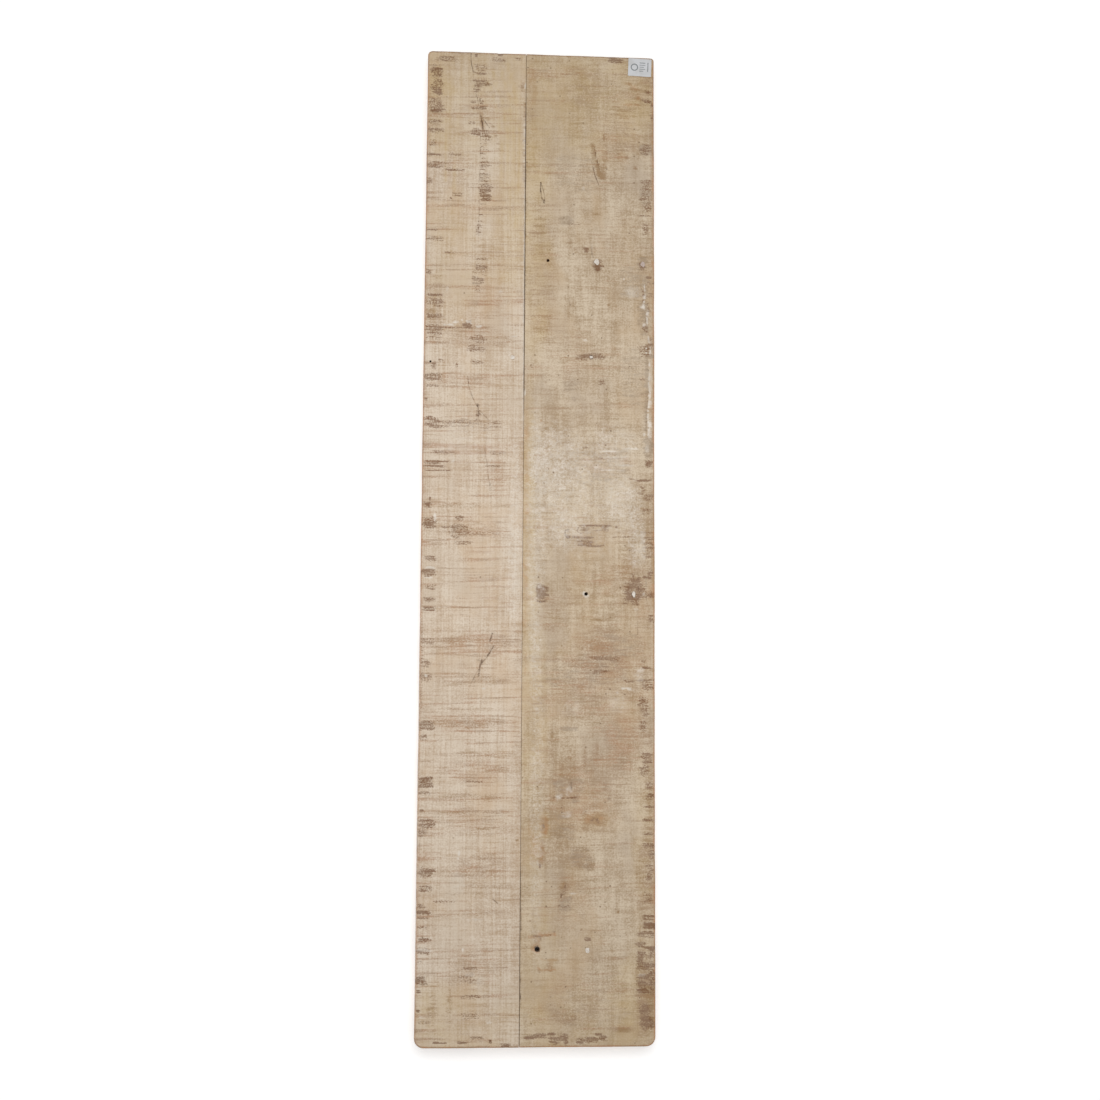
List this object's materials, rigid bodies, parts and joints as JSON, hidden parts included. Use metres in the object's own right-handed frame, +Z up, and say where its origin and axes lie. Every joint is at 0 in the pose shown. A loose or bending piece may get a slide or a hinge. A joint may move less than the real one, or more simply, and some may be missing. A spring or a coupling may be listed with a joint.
{
  "type": "reclaimed scaffold plank",
  "caption": "Short thick plank of two old softwood boards joined edge to edge, worn face up, with rounded corners, eased edges and old nail holes through it.",
  "frame": {"origin": "middle of the underside, halfway along the length and the total width", "axes": "+Y along the length towards the end with the label, +X across it from the narrow board to the wide board, +Z up out of the worn face"},
  "size_m": [0.305, 1.3, 0.0385],
  "materials": {
    "narrow_board_wood": "dry, pale, rough-sawn softwood with cross-wise saw marks, lightly sanded",
    "wide_board_wood": "dry, tan, weathered softwood with grey-brown stains, lightly sanded",
    "glue": "dried wood glue darkened by dust",
    "dowel_wood": "plain turned beech",
    "filler": "dry white wood filler",
    "label_paper": "smooth white label paper"
  },
  "bodies": {
    "root": {"narrow_board": "narrow_board_wood", "wide_board": "wide_board_wood", "glue_line": "glue", "dowel_1": "dowel_wood", "dowel_2": "dowel_wood", "dowel_3": "dowel_wood", "dowel_4": "dowel_wood", "dowel_5": "dowel_wood", "dowel_6": "dowel_wood", "hole_filler_1": "filler", "hole_filler_2": "filler", "hole_filler_3": "filler", "hole_filler_4": "filler", "hole_filler_5": "filler", "hole_filler_6": "filler", "paper_label": "label_paper"}
  },
  "joints": []
}
